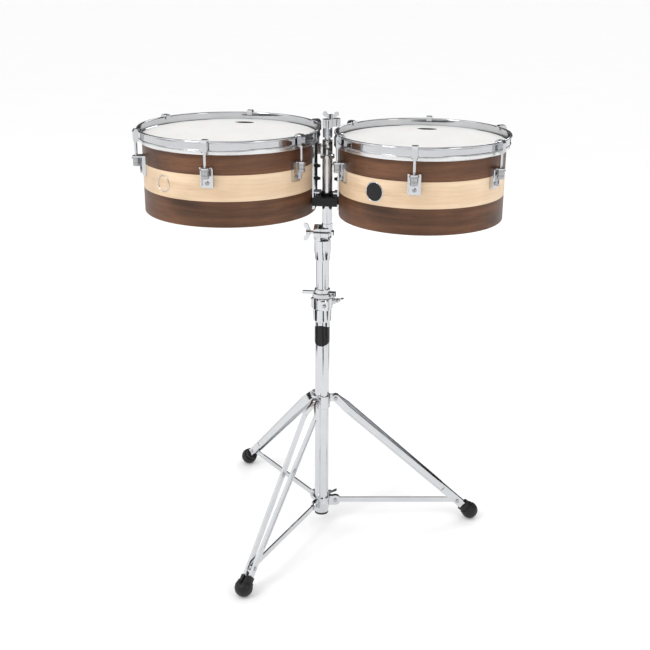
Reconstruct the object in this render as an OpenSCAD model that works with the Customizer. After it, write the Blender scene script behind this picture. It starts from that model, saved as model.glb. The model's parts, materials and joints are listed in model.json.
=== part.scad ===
// A pair of timbales on a folding tripod stand.
// Millimetres, +Z up, floor at Z = 0, the audience on the -Y side.
// The stand is drawn round the axis of its base tube, then moved so that the
// origin lies on the floor under the middle of the whole object.

/* [Drums] */
// Outer diameter of the left, larger shell
left_shell_d = 381; // [300:1:460]
// Outer diameter of the right, smaller shell
right_shell_d = 355.6; // [300:0.1:460]
// Height of both shells
shell_h = 165.1; // [137:0.1:200]
// Wall of both shells
shell_wall = 8; // [6:0.5:12]
// Height of each of the lower two colour bands
band_h = 55; // [40:1:66]
// Depth of the inlaid middle band
band_depth = 2; // [1:0.5:4]
// Gap from the post's axis to each shell
drum_gap = 27.5; // [26:0.5:36]
// Number of tension rods on each drum
lug_count = 6; // [6, 12]
// Distance from the shell to a tension rod's axis
rod_offset = 17; // [16:0.5:22]
// Diameter of a tension rod
rod_d = 6.4; // [5:0.1:7.5]
// Height of the counterhoop's band
hoop_h = 17; // [12:0.5:24]

/* [Column] */
// Height of the base tube's top above the floor
base_top_z = 572; // [480:1:700]
// Diameter of the base tube
base_tube_d = 33; // [30:0.1:38]
// Wall of the base tube
base_tube_wall = 1.5; // [1:0.1:2.5]
// Diameter of the height tube
height_tube_d = 28.6; // [25:0.1:28.8]
// Length of height tube that shows between the memory lock and the tilter
height_tube_show = 68; // [40:1:150]
// Length of height tube below the base tube's top
height_tube_in = 270; // [200:1:300]
// Wall of the height tube
height_tube_wall = 1.6; // [1:0.1:2.5]
// Diameter of the upper post
post_d = 22.2; // [19:0.1:25]
// Sideways offset of the upper post from the base tube
post_x = 10; // [8:0.5:12]
// Height of the tilt axis above the tilter casting's lower end
tilt_rise = 63; // [56:1:80]
// Height of the shells' lower edges above the tilt axis
drum_rise = 50; // [46:1:70]
// Diameter of the accessory rod
accessory_rod_d = 12.7; // [10:0.1:14]
// Diameter of the hole that holds an added cowbell rod
cowbell_bore_d = 9.6; // [8:0.1:10]

/* [Tripod] */
// Compass angle of the first leg
leg_azimuth = 12; // [0:1:30]
// Angle between each leg and the vertical
leg_angle = 47.3; // [38:0.1:55]
// Length of a leg from its pivot to the middle of its foot
leg_len = 453.5; // [380:0.5:545]
// Distance from the tube's axis to a leg's pivot
leg_pivot_r = 32.2; // [31:0.1:38]
// Distance along the leg from its pivot to the brace's rivet
brace_on_leg = 408.5; // [340:0.5:409]
// Height of the brace pivots on the sliding collar
collar_pivot_z = 56.3; // [54:0.1:70]
// Distance from the tube's axis to a brace's pivot
collar_pivot_r = 33.4; // [33:0.1:38]
// Width of a leg bar
leg_bar_w = 17.5; // [14:0.5:18]
// Thickness of a leg bar
leg_bar_t = 5; // [3:0.5:6]
// Widest gap between the two bars of a leg
leg_spread = 24; // [18:1:28]
// Width of a brace
brace_w = 12.5; // [10:0.5:14]
// Thickness of a brace
brace_t = 4; // [3:0.5:4.5]
// Radius of a foot's rubber dome
foot_dome_r = 20; // [17:0.5:24]

/* [Hidden] */
$fn = 96;
eps = 0.01;
// clearances
run_gap = 0.05;   // a shaft that turns or slides in its hole
slot_gap = 0.2;   // a flat piece in its slot

// tripod heights and places
base_r = base_tube_d / 2;
base_bottom_z = 28;
foot_pad_cut = 0.5;
foot_z = foot_dome_r - foot_pad_cut;
foot_r = leg_pivot_r + leg_len * sin(leg_angle);
leg_pivot_z = foot_z + leg_len * cos(leg_angle);
ear_t = 5;
ear_r = 9.5;
leg_gap = 0.1;
joggle_start = 10;
joggle_end = 35;
bars_end = leg_len - 27;
bars_parallel = bars_end - 26;
foot_bar_gap = 9;
shank_r = foot_bar_gap / 2;
shank_start = brace_on_leg + brace_w / 2 + 2.3;
rivet_r = 3;
rivet_head_r = 5;
rivet_head_h = 1.8;
collar_r = base_r + 2.1;
collar_h = 28;
collar_flange_r = base_r + 4;
collar_flange_h = 4;
collar_z = collar_pivot_z - 16.3;
clevis_t = 3;
clevis_r = 12.5;
attach_r = leg_pivot_r + brace_on_leg * sin(leg_angle);
attach_z = leg_pivot_z - brace_on_leg * cos(leg_angle);
brace_len = norm([attach_r - collar_pivot_r, attach_z - collar_pivot_z]);
brace_drop = atan2(collar_pivot_z - attach_z, attach_r - collar_pivot_r);
// slot that the brace's free end takes past the shank and the foot as the tripod folds
brace_way_w = brace_t + 0.8;
brace_way_angle = 34.3;
brace_way_depth = brace_w / 2 + 2.85;
collar_wing_azimuth = leg_azimuth + 60;

// height clamp and memory lock
clamp_sleeve_z = base_top_z - 52;
clamp_block_z = base_top_z - 22;
clamp_top_z = base_top_z + 5;
clamp_block_r = base_r + 6.5;
bushing_flange_r = base_r + 1.5;
bushing_flange_h = 3;
tube_r = height_tube_d / 2;
lock_z = clamp_top_z + run_gap;
lock_h = 20;
lock_r = base_r + 6;
lever_z = lock_z + 6;
clamp_wing_azimuth = 35;
clamp_wing_z = base_top_z - 9;
clamp_ear_x = 8.5;
clamp_ear_y = -clamp_block_r;
clamp_slot_x = -8;
tube_badge_z = base_top_z - 85;
tube_badge_r = 25;

// tilter
tilter_z = lock_z + lock_h + height_tube_show;
tilt_z = tilter_z + tilt_rise;
ring_r = 18;
ring_left_x = -18;
ring_split_x = -2.6;
ring_gap = 0.4;
ring_right_x = 15;
tilt_bolt_r = 3.5;
tilter_body_h = 46;
post_z = tilt_z + 22;

// drum heights
shell_z = tilt_z + drum_rise;
shell_top_z = shell_z + shell_h;
left_r = left_shell_d / 2;
right_r = right_shell_d / 2;
left_x = post_x - drum_gap - left_r;
right_x = post_x + drum_gap + right_r;
head_t = 0.6;
head_skirt = 8;
flesh_top = shell_h - 3.1;
flesh_h = 9.4;
flesh_in = 0.9;
flesh_out = 6.8;
hoop_z = flesh_top + slot_gap;
hoop_in = 6;
hoop_out = 8.2;
rim_r = 2.6;
rim_mid = 8.4;
hoop_top = hoop_z + hoop_h + rim_r;
hoop_reach = rim_mid + rim_r;
// claws, lugs and nuts
claw_w = 12.4;
claw_drop = 20;
claw_cap = 3.4;
claw_bottom = hoop_top - rim_r - claw_drop;
lug_plate_w = 27;
lug_plate_t = 3;
lug_corner_r = 4;
lug_flange_t = 2.4;
lug_flange_out = 8;
lug_top = shell_h - 36.4;
lug_bottom = lug_top - 44.7;
lug_screw_z = lug_bottom + 10;
nut_r = 7.85;
nut_h = 19;
nut_flange_r = 10;
nut_flange_h = 3;
rod_bottom = lug_top - lug_plate_t - nut_h + 1;
rod_top = hoop_top - 6;
shelf_r = 9;
// drum mount
mount_w = 50;
mount_t = 3;
mount_bottom = 8;
mount_top = shell_h - 15.1;
bridge_bottom = 18.5;
bridge_h = 18;
bridge_depth = 76;
bridge_gap = 0.6;
tongue_t = 4;
tongue_w = 30;
tongue_drop = 14;
tongue_in = 15.2;
hook_h = 8;
bolt_heights = [72, 100];
badge_r = 21;
badge_t = 1.2;

// post head, accessory rod and its clamp
post_r = post_d / 2;
post_wall = 2;
post_top_z = shell_top_z - 47.1;
head_flange_r = post_r + 4.4;
head_flange_h = 9;
head_collar_r = 11;
head_collar_h = 30;
rod_r = accessory_rod_d / 2;
rod_low_z = shell_z + 12;
clamp_low_z = shell_top_z - 2;
clamp_body_z = shell_z + hoop_top + 3.7;
clamp_body_h = 16.5;
rod_end_z = clamp_body_z - 3;
eye_x = 17;
eye_y = 14;
eye_r = 8.5;
clamp_bolt_x = 6.5;
head_screw_z = post_top_z + 26;
head_screw_azimuth = -75;

// middle of the whole object's box, seen from above
hoop_min_x = left_x - left_r - hoop_reach;
hoop_max_x = right_x + right_r + hoop_reach;
foot_max_y = foot_r * sin(leg_azimuth + 120) + foot_dome_r;
foot_min_y = foot_r * sin(leg_azimuth + 240) - foot_dome_r;
middle_x = (hoop_min_x + hoop_max_x) / 2;
middle_y = (foot_min_y + foot_max_y) / 2;

// ---------- shared shapes ----------

module in_frame() {
    translate([-middle_x, -middle_y, 0])
        children();
}

module at_azimuth(angle) {
    rotate([0, 0, angle])
        children();
}

// a tube standing on z = 0
module pipe(outer, inner, h) {
    difference() {
        cylinder(r = outer, h = h);
        translate([0, 0, -1])
            cylinder(r = inner, h = h + 2);
    }
}

// a plate in the XZ plane, centred on Y
module plate_xz(t) {
    translate([0, t / 2, 0])
        rotate([90, 0, 0])
            linear_extrude(t)
                children();
}

// a low round head on z = 0, pointing up
module button_head(r, h) {
    cylinder(r = r, h = h * 0.5);
    translate([0, 0, h * 0.5 - eps])
        cylinder(r1 = r, r2 = r * 0.6, h = h * 0.5);
}

// one half of a wing, outward from a hub on the axis
module wing_outline(span, rise) {
    polygon([
        [0, 0], [5, 0], [span * 0.38, rise * 0.28], [span * 0.5, rise * 0.5],
        [span * 0.5, rise - 2], [span * 0.5 - 2, rise], [span * 0.5 - 7, rise],
        [5.5, rise * 0.55], [0, rise * 0.55]
    ]);
}

// a winged screw: shank below z = 0, wings above
module wing_screw(span, rise, shank_r, shank_l) {
    color("silver") {
        translate([0, 0, -shank_l])
            cylinder(r = shank_r, h = shank_l + eps);
        cylinder(r1 = 6, r2 = 5, h = rise * 0.62);
        plate_xz(3.6)
            wing_outline(span, rise);
        plate_xz(3.6)
            mirror([1, 0])
                wing_outline(span, rise);
    }
}

// turns a shape that points up so that it points outward along +X
module point_out() {
    rotate([0, 90, 0])
        children();
}

module square_key_screw(shank) {
    color("gainsboro") {
        translate([0, 0, -shank])
            cylinder(r = 2.4, h = shank + eps);
        cylinder(r = 4.6, h = 1.5);
        translate([-2.6, -2.6, 0])
            cube([5.2, 5.2, 6]);
    }
}

// ---------- base ----------

module base_tube() {
    color("silver")
        in_frame()
            translate([0, 0, base_bottom_z])
                pipe(base_r, base_r - base_tube_wall, base_top_z - base_bottom_z);
}

module end_plug() {
    plug_r = base_r - base_tube_wall;
    color("dimgray")
        in_frame()
            difference() {
                union() {
                    translate([0, 0, base_bottom_z - 5])
                        cylinder(r = base_r, h = 5);
                    translate([0, 0, base_bottom_z - eps])
                        cylinder(r = plug_r, h = 14);
                }
                translate([0, 0, base_bottom_z - 1])
                    cylinder(r = plug_r - 3, h = 20);
            }
}

module height_bushing() {
    color("black")
        in_frame()
            difference() {
                union() {
                    translate([0, 0, base_top_z - 40])
                        cylinder(r = base_r - base_tube_wall, h = 40 + eps);
                    translate([0, 0, base_top_z])
                        cylinder(r = bushing_flange_r, h = bushing_flange_h);
                }
                translate([0, 0, base_top_z - 50])
                    cylinder(r = tube_r + run_gap, h = 80);
            }
}

module height_clamp() {
    color("silver")
        in_frame()
            difference() {
                union() {
                    // tapered sleeve with a chamfered lower end
                    rotate_extrude()
                        polygon([
                            [0, clamp_sleeve_z], [base_r + 2.4, clamp_sleeve_z],
                            [base_r + 3.4, clamp_sleeve_z + 3], [base_r + 4.2, clamp_block_z],
                            [clamp_block_r - 1.5, clamp_block_z], [clamp_block_r, clamp_block_z + 1.5],
                            [clamp_block_r, clamp_top_z - 1.5], [clamp_block_r - 1.5, clamp_top_z],
                            [0, clamp_top_z]
                        ]);
                    // front ear for the key screw
                    translate([0, clamp_ear_y - 3, clamp_block_z + 2])
                        cube([17, 14, 21]);
                    // side lugs of the block
                    translate([-clamp_block_r - 3, -7, clamp_block_z + 3])
                        cube([12, 14, 20]);
                    // boss for the wing screw
                    at_azimuth(clamp_wing_azimuth)
                        translate([base_r + 1, 0, clamp_wing_z])
                            point_out()
                                cylinder(r = 8, h = 14);
                }
                translate([0, 0, clamp_sleeve_z - 1])
                    cylinder(r = base_r, h = base_top_z - clamp_sleeve_z + 1);
                translate([0, 0, base_top_z - eps])
                    cylinder(r = bushing_flange_r + 0.1, h = 20);
                // split in the front of the block
                translate([clamp_slot_x - 2, -clamp_block_r - 6, clamp_block_z - 1])
                    cube([4, 14, 40]);
                translate([clamp_ear_x, clamp_ear_y - 6, clamp_wing_z])
                    rotate([-90, 0, 0])
                        cylinder(r = 2.4, h = 13);
                at_azimuth(clamp_wing_azimuth)
                    translate([base_r - 1, 0, clamp_wing_z])
                        point_out()
                            cylinder(r = 3 + run_gap, h = 30);
            }
}

module clamp_key_screw() {
    in_frame()
        translate([clamp_ear_x, clamp_ear_y - 3, clamp_wing_z])
            rotate([90, 0, 0])
                square_key_screw(8);
}

module height_wing_screw() {
    in_frame()
        at_azimuth(clamp_wing_azimuth)
            translate([base_r + 19, 0, clamp_wing_z])
                point_out()
                    rotate([0, 0, 60])
                        wing_screw(30, 14, 3, 18.5);
}

module tube_badge() {
    color("black")
        in_frame()
            intersection() {
                translate([0, 0, tube_badge_z - tube_badge_r])
                    pipe(base_r + 0.9, base_r, 2 * tube_badge_r);
                translate([0, 0, tube_badge_z])
                    rotate([90, 0, 0])
                        cylinder(r = tube_badge_r, h = base_r + 5);
            }
}

module leg_collar() {
    collar_low = leg_pivot_z - 22;
    color("silver")
        in_frame()
            difference() {
                union() {
                    rotate_extrude()
                        polygon([
                            [base_r, collar_low], [base_r + 2.5, collar_low], [base_r + 3.5, collar_low + 1],
                            [base_r + 3.5, collar_low + 30], [base_r + 2.5, collar_low + 31],
                            [base_r, collar_low + 31]
                        ]);
                    for (i = [0:2])
                        at_azimuth(leg_azimuth + 120 * i)
                            plate_xz(ear_t) {
                                translate([leg_pivot_r, leg_pivot_z])
                                    circle(r = ear_r);
                                translate([base_r + 2, leg_pivot_z - ear_r])
                                    square([leg_pivot_r - base_r - 2, 2 * ear_r - 0.6]);
                            }
                }
                for (i = [0:2])
                    at_azimuth(leg_azimuth + 120 * i)
                        translate([leg_pivot_r, 0, leg_pivot_z])
                            rotate([90, 0, 0])
                                cylinder(r = rivet_r, h = 20, center = true);
            }
}

module leg_pivot_rivets() {
    bar_out = ear_t / 2 + leg_gap + leg_bar_t;
    color("gainsboro")
        in_frame()
            for (i = [0:2])
                at_azimuth(leg_azimuth + 120 * i)
                    translate([leg_pivot_r, 0, leg_pivot_z]) {
                        rotate([90, 0, 0])
                            cylinder(r = rivet_r, h = 2 * (bar_out + leg_gap), center = true);
                        for (side = [0, 180])
                            rotate([-90, 0, side])
                                translate([0, 0, bar_out + leg_gap])
                                    button_head(rivet_head_r, rivet_head_h);
                    }
}

// ---------- legs, feet and braces ----------

// places a leg's own shapes: +X runs down the leg, +Z is its outer side
module on_leg(i) {
    in_frame()
        at_azimuth(leg_azimuth + 120 * i)
            translate([leg_pivot_r, 0, leg_pivot_z])
                rotate([0, 90 - leg_angle, 0])
                    children();
}

// one bent bar of a leg, from above
module leg_bar_outline() {
    near = ear_t / 2 + leg_gap;
    wide = leg_spread / 2;
    foot = foot_bar_gap / 2;
    polygon([
        [0, near], [joggle_start, near], [joggle_end, wide], [bars_parallel, foot], [bars_end, foot],
        [bars_end, foot + leg_bar_t], [bars_parallel, foot + leg_bar_t], [joggle_end, wide + leg_bar_t],
        [joggle_start, near + leg_bar_t], [0, near + leg_bar_t]
    ]);
}

module leg_bar() {
    near = ear_t / 2 + leg_gap;
    difference() {
        union() {
            translate([0, 0, -leg_bar_w / 2])
                linear_extrude(leg_bar_w)
                    leg_bar_outline();
            translate([0, near, 0])
                rotate([-90, 0, 0])
                    cylinder(r = leg_bar_w / 2, h = leg_bar_t);
        }
        for (s = [0, brace_on_leg])
            translate([s, 0, 0])
                rotate([-90, 0, 0])
                    cylinder(r = rivet_r + run_gap, h = 40);
        // long hollow in the bar's outer face
        translate([joggle_end + 8, bar_hollow_y(), -leg_bar_w / 2 + 3.5])
            rotate([0, 0, -atan2((leg_spread - foot_bar_gap) / 2, bars_parallel - joggle_end)])
                cube([bars_parallel - joggle_end - 50, 10, leg_bar_w - 7]);
    }
}

function bar_hollow_y() =
    (leg_spread - (leg_spread - foot_bar_gap) * 8 / (bars_parallel - joggle_end)) / 2 + leg_bar_t - 1.5;

module leg(i) {
    color("silver")
        on_leg(i) {
            leg_bar();
            mirror([0, 1, 0])
                leg_bar();
            difference() {
                translate([shank_start, 0, 0])
                    point_out()
                        cylinder(r = shank_r, h = leg_len - shank_start - 4);
                brace_way();
            }
        }
}

// the room that a brace's free end needs, in its leg's frame
module brace_way() {
    translate([brace_on_leg, 0, 0])
        rotate([0, -brace_way_angle, 0])
            translate([0, -brace_way_w / 2, -brace_way_depth])
                cube([80, brace_way_w, 80]);
}

module foot(i) {
    color([0.12, 0.12, 0.12])
        difference() {
            on_leg(i)
                difference() {
                    union() {
                        translate([leg_len, 0, 0])
                            sphere(r = foot_dome_r);
                        translate([leg_len - 25, 0, 0])
                            point_out()
                                cylinder(r = 15, h = 25);
                        translate([leg_len - 13, 0, 0])
                            point_out()
                                cylinder(r = 17.5, h = 13);
                    }
                    translate([leg_len - 30, 0, 0])
                        point_out()
                            cylinder(r = shank_r + 0.1, h = 26.1);
                    brace_way();
                }
            // flat pad where the dome meets the floor
            in_frame()
                translate([-600, -600, -10])
                    cube([1200, 1200, 10]);
        }
}

module brace(i) {
    end_r = brace_w / 2;
    color("silver")
        in_frame()
            at_azimuth(leg_azimuth + 120 * i)
                translate([collar_pivot_r, 0, collar_pivot_z])
                    rotate([0, brace_drop, 0])
                        plate_xz(brace_t)
                            difference() {
                                union() {
                                    circle(r = end_r);
                                    translate([0, -end_r])
                                        square([brace_len, brace_w]);
                                    translate([brace_len, 0])
                                        circle(r = end_r);
                                }
                                circle(r = rivet_r + run_gap);
                                translate([brace_len, 0])
                                    circle(r = rivet_r);
                            }
}

// rivet heads and shanks in each bar, open between the bars where the brace runs
module brace_rivets(i) {
    slope = (leg_spread - foot_bar_gap) / 2 / (bars_parallel - joggle_end);
    near = foot_bar_gap / 2 + max(0, bars_parallel - brace_on_leg) * slope;
    color("gainsboro")
        on_leg(i)
            for (side = [0, 180])
                rotate([side, 0, 0])
                    translate([brace_on_leg, near, 0])
                        rotate([-90, 0, 0]) {
                            cylinder(r = rivet_r, h = leg_bar_t + eps);
                            translate([0, 0, leg_bar_t])
                                button_head(rivet_head_r, rivet_head_h);
                        }
}

// ---------- sliding collar ----------

module sliding_collar() {
    clevis_gap = brace_t / 2 + 0.1;
    color("silver")
        in_frame()
            difference() {
                union() {
                    translate([0, 0, collar_z])
                        cylinder(r = collar_r, h = collar_h);
                    translate([0, 0, collar_z + collar_h - collar_flange_h])
                        cylinder(r = collar_flange_r, h = collar_flange_h);
                    for (i = [0:2])
                        at_azimuth(leg_azimuth + 120 * i)
                            for (side = [-1, 1])
                                translate([0, side * (clevis_gap + clevis_t / 2), 0])
                                    plate_xz(clevis_t) {
                                        translate([collar_pivot_r, collar_pivot_z])
                                            circle(r = clevis_r);
                                        translate([base_r + 1, collar_pivot_z - clevis_r])
                                            square([collar_pivot_r - base_r - 1, 2 * clevis_r - 0.8]);
                                    }
                    at_azimuth(collar_wing_azimuth)
                        translate([base_r + 1, 0, collar_pivot_z])
                            point_out()
                                cylinder(r = 7, h = 11);
                }
                translate([0, 0, collar_z - 10])
                    cylinder(r = base_r + run_gap, h = 60);
                for (i = [0:2])
                    at_azimuth(leg_azimuth + 120 * i)
                        translate([collar_pivot_r, 0, collar_pivot_z])
                            rotate([90, 0, 0])
                                cylinder(r = rivet_r, h = 20, center = true);
                at_azimuth(collar_wing_azimuth)
                    translate([base_r - 2, 0, collar_pivot_z])
                        point_out()
                            cylinder(r = 3 + run_gap, h = 30);
            }
}

module brace_pivot_rivets() {
    clevis_out = brace_t / 2 + 0.1 + clevis_t;
    color("gainsboro")
        in_frame()
            for (i = [0:2])
                at_azimuth(leg_azimuth + 120 * i)
                    translate([collar_pivot_r, 0, collar_pivot_z]) {
                        rotate([90, 0, 0])
                            cylinder(r = rivet_r, h = 2 * clevis_out, center = true);
                        for (side = [0, 180])
                            rotate([-90, 0, side])
                                translate([0, 0, clevis_out])
                                    button_head(rivet_head_r, rivet_head_h);
                    }
}

module collar_wing_bolt() {
    in_frame()
        at_azimuth(collar_wing_azimuth)
            translate([base_r + 20, 0, collar_pivot_z])
                point_out()
                    rotate([0, 0, 65])
                        wing_screw(38, 16, 3, 19.7);
}

// ---------- memory lock, height tube and tilter ----------

module memory_lock() {
    color("silver")
        in_frame()
            difference() {
                union() {
                    rotate_extrude()
                        polygon([
                            [tube_r, lock_z], [lock_r - 1.5, lock_z], [lock_r - 0.3, lock_z + 1.5],
                            [lock_r - 1.2, lock_z + 10], [lock_r - 4.5, lock_z + 12],
                            [lock_r - 5, lock_z + lock_h], [tube_r, lock_z + lock_h]
                        ]);
                    // pull lever on the left
                    translate([-42, -4, lever_z])
                        cube([24, 8, 7]);
                    translate([-42, 0, lever_z])
                        cylinder(r = 4, h = 7);
                    // screw ear at the right
                    translate([15, -8, lock_z + 1])
                        cube([15, 16, 11]);
                }
                translate([0, 0, lock_z - 1])
                    cylinder(r = tube_r + run_gap, h = lock_h + 2);
                translate([14, -2, lock_z - 1])
                    cube([20, 3, 14]);
                translate([25, 5.5, lock_z + 6.5])
                    rotate([90, 0, 0])
                        cylinder(r = 2.4, h = 16);
            }
}

module lock_key_screw() {
    in_frame()
        translate([25, -8, lock_z + 6.5])
            rotate([90, 0, 0])
                square_key_screw(13);
}

module height_tube() {
    low = base_top_z - height_tube_in;
    color("silver")
        in_frame()
            translate([0, 0, low])
                pipe(tube_r, tube_r - height_tube_wall, tilter_z + 28 - low);
}

module tilter_base() {
    color("silver")
        in_frame()
            difference() {
                union() {
                    rotate_extrude()
                        polygon([
                            [0, tilter_z], [tube_r + 1.3, tilter_z], [tube_r + 2, tilter_z + 2],
                            [ring_r, tilter_z + 22], [ring_r, tilter_z + tilter_body_h],
                            [0, tilter_z + tilter_body_h]
                        ]);
                    translate([ring_left_x, 0, tilt_z])
                        point_out()
                            cylinder(r = ring_r, h = ring_split_x - ring_left_x);
                    intersection() {
                        translate([ring_left_x, -16, tilter_z + 30])
                            cube([ring_split_x - ring_left_x, 32, tilt_z - tilter_z - 30]);
                        translate([0, 0, tilter_z + 30])
                            cylinder(r = ring_r, h = 60);
                    }
                }
                translate([0, 0, tilter_z - 1])
                    cylinder(r = tube_r, h = 29);
                // room for the upper half's ring
                translate([ring_split_x, 0, tilt_z])
                    point_out()
                        cylinder(r = ring_r + 0.8, h = 40);
                translate([ring_left_x - 1, 0, tilt_z])
                    point_out()
                        cylinder(r = tilt_bolt_r + run_gap, h = 40);
            }
}

module tilter_wing_bolt() {
    in_frame()
        translate([ring_left_x - 10, 0, tilt_z])
            rotate([0, -90, 0])
                wing_screw(40, 15, tilt_bolt_r, ring_right_x - ring_left_x + 18);
}

module tilter_head() {
    nut_x = ring_right_x + 4;
    color("silver")
        in_frame()
            difference() {
                union() {
                    translate([ring_split_x + ring_gap, 0, tilt_z])
                        point_out()
                            cylinder(r = ring_r, h = ring_right_x - ring_split_x - ring_gap);
                    translate([ring_right_x - eps, 0, tilt_z])
                        point_out()
                            cylinder(r = 12, h = 4);
                    // nut that the wing bolt draws up
                    translate([nut_x, 0, tilt_z])
                        point_out()
                            cylinder(r = 7, h = 6, $fn = 6);
                    // seat of the upper post
                    translate([post_x, 0, tilt_z])
                        cylinder(r = post_r + 0.9, h = post_z - tilt_z);
                    translate([post_x, 0, post_z - eps])
                        cylinder(r = post_r - post_wall - run_gap, h = 20);
                }
                translate([ring_split_x - 1, 0, tilt_z])
                    point_out()
                        cylinder(r = tilt_bolt_r + run_gap, h = 40);
            }
}

// ---------- upper post and bridge ----------

module upper_post() {
    color("silver")
        in_frame()
            translate([post_x, 0, post_z])
                pipe(post_r, post_r - post_wall, post_top_z - post_z);
}

module bridge() {
    color([0.1, 0.1, 0.1])
        in_frame()
            difference() {
                translate([post_x, 0, shell_z + bridge_bottom])
                    difference() {
                        union() {
                            translate([-drum_gap - 6, -bridge_depth / 2, 0])
                                cube([2 * drum_gap + 12, bridge_depth, bridge_h]);
                            cylinder(r = post_r + 3.5, h = bridge_h + 5);
                        }
                        translate([0, 0, -1])
                            cylinder(r = post_r, h = bridge_h + 10);
                        // a slot each side for the drums' tongues
                        for (side = [-1, 1])
                            translate([side * (tongue_in + tongue_t / 2), 0, bridge_h / 2])
                                cube([tongue_t + 2 * slot_gap, tongue_w + 2 * slot_gap, bridge_h + 2],
                                     center = true);
                        // screw holes along the front and back
                        for (x = [-18, 0, 18], y = [-27, 27])
                            translate([x, y, -1])
                                cylinder(r = 3.2, h = bridge_h + 2);
                    }
                // hollow sides that follow the shells and their mounts
                for (drum = [[left_x, left_r], [right_x, right_r]])
                    translate([drum[0], 0, shell_z])
                        cylinder(r = drum[1] + mount_t + bridge_gap, h = shell_h, $fn = 180);
            }
}

module post_head() {
    color("silver")
        in_frame()
            translate([post_x, 0, post_top_z])
                difference() {
                    union() {
                        translate([0, 0, -10])
                            cylinder(r = post_r - post_wall, h = 10 + eps);
                        cylinder(r = head_flange_r, h = head_flange_h - 2);
                        translate([0, 0, head_flange_h - 2])
                            cylinder(r1 = head_flange_r, r2 = head_collar_r, h = 2);
                        cylinder(r = head_collar_r, h = head_flange_h + head_collar_h);
                        at_azimuth(head_screw_azimuth)
                            translate([8, 0, head_screw_z - post_top_z])
                                point_out()
                                    cylinder(r = 6, h = 7);
                    }
                    translate([0, 0, -11])
                        cylinder(r = rod_r + run_gap, h = 80);
                    at_azimuth(head_screw_azimuth)
                        translate([4, 0, head_screw_z - post_top_z])
                            point_out()
                                cylinder(r = 3 + run_gap, h = 20);
                }
}

module rod_wing_screw() {
    in_frame()
        translate([post_x, 0, head_screw_z])
            at_azimuth(head_screw_azimuth)
                translate([17, 0, 0])
                    point_out()
                        rotate([0, 0, 20])
                            wing_screw(26, 11, 3, 10.4);
}

module accessory_rod() {
    color("silver")
        in_frame()
            translate([post_x, 0, rod_low_z])
                cylinder(r = rod_r, h = rod_end_z - rod_low_z);
}

module rod_clamp() {
    arm_turn = atan2(eye_y, eye_x);
    color("silver")
        in_frame()
            translate([post_x, 0, 0])
                difference() {
                    union() {
                        translate([0, 0, clamp_low_z])
                            cylinder(r = rod_r + 4, h = clamp_body_z - clamp_low_z + eps);
                        translate([0, 0, clamp_body_z])
                            cylinder(r = 11, h = clamp_body_h);
                        at_azimuth(arm_turn)
                            translate([0, -7, clamp_body_z])
                                cube([norm([eye_x, eye_y]), 14, clamp_body_h]);
                        translate([eye_x, eye_y, clamp_body_z])
                            cylinder(r = eye_r, h = clamp_body_h);
                    }
                    translate([0, 0, clamp_low_z - 1])
                        cylinder(r = rod_r + run_gap, h = rod_end_z - clamp_low_z + 1 + run_gap);
                    translate([eye_x, eye_y, clamp_body_z - 1])
                        cylinder(r = cowbell_bore_d / 2, h = clamp_body_h + 2);
                    translate([clamp_bolt_x, 0, clamp_body_z + 2])
                        cylinder(r = 3 + run_gap, h = clamp_body_h);
                }
}

module rod_clamp_wing_bolt() {
    in_frame()
        translate([post_x + clamp_bolt_x, 0, clamp_body_z + clamp_body_h + 1.5])
            wing_screw(34, 14, 3, 14);
}

// ---------- drums, drawn from the middle of the shell's lower edge ----------

// a drum's centre; angle 0 faces the post on the left drum, 180 on the right
module at_drum(x) {
    in_frame()
        translate([x, 0, shell_z])
            children();
}

module each_lug() {
    for (i = [0:lug_count - 1])
        at_azimuth(180 / lug_count + i * 360 / lug_count)
            children();
}

module shell(x, r) {
    color([0.33, 0.2, 0.14])
        at_drum(x)
            rotate_extrude($fn = 180)
                polygon([
                    [r - shell_wall, 1], [r - shell_wall + 1, 0], [r - 1, 0], [r, 1], [r, band_h],
                    [r - band_depth, band_h], [r - band_depth, 2 * band_h], [r, 2 * band_h],
                    [r, shell_h - 2], [r - 2.5, shell_h], [r - shell_wall, shell_h - 4]
                ]);
}

module band(x, r) {
    color([0.87, 0.73, 0.52])
        at_drum(x)
            translate([0, 0, band_h])
                difference() {
                    cylinder(r = r, h = band_h, $fn = 180);
                    translate([0, 0, -1])
                        cylinder(r = r - band_depth, h = band_h + 2, $fn = 180);
                }
}

// the film and its skirt, which the flesh hoop holds
module head(x, r) {
    color([0.95, 0.94, 0.9])
        at_drum(x)
            rotate_extrude($fn = 180)
                polygon([
                    [0, shell_h], [r + 0.2, shell_h], [r + 0.2, shell_h - head_skirt],
                    [r + flesh_in, shell_h - head_skirt], [r + flesh_in, shell_h],
                    [r + 0.3, shell_h + head_t], [0, shell_h + head_t]
                ]);
}

module flesh_hoop(x, r) {
    low = flesh_top - flesh_h;
    color("lightgray")
        at_drum(x)
            rotate_extrude($fn = 180)
                polygon([
                    [r + flesh_in, low], [r + flesh_out - 1.5, low], [r + flesh_out, low + 2],
                    [r + flesh_out, flesh_top - 2], [r + flesh_out - 1.5, flesh_top],
                    [r + flesh_in, flesh_top]
                ]);
}

module counterhoop(x, r) {
    color("silver")
        at_drum(x)
            rotate_extrude($fn = 180) {
                polygon([
                    [r + 2, hoop_z], [r + hoop_out + 1, hoop_z], [r + hoop_out + 1, hoop_z + 2],
                    [r + hoop_out, hoop_z + 2.4], [r + hoop_out, hoop_z + hoop_h],
                    [r + hoop_in, hoop_z + hoop_h], [r + hoop_in, hoop_z + 2.4], [r + 2, hoop_z + 2.4]
                ]);
                translate([r + rim_mid, hoop_z + hoop_h])
                    circle(r = rim_r, $fn = 32);
            }
}

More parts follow.
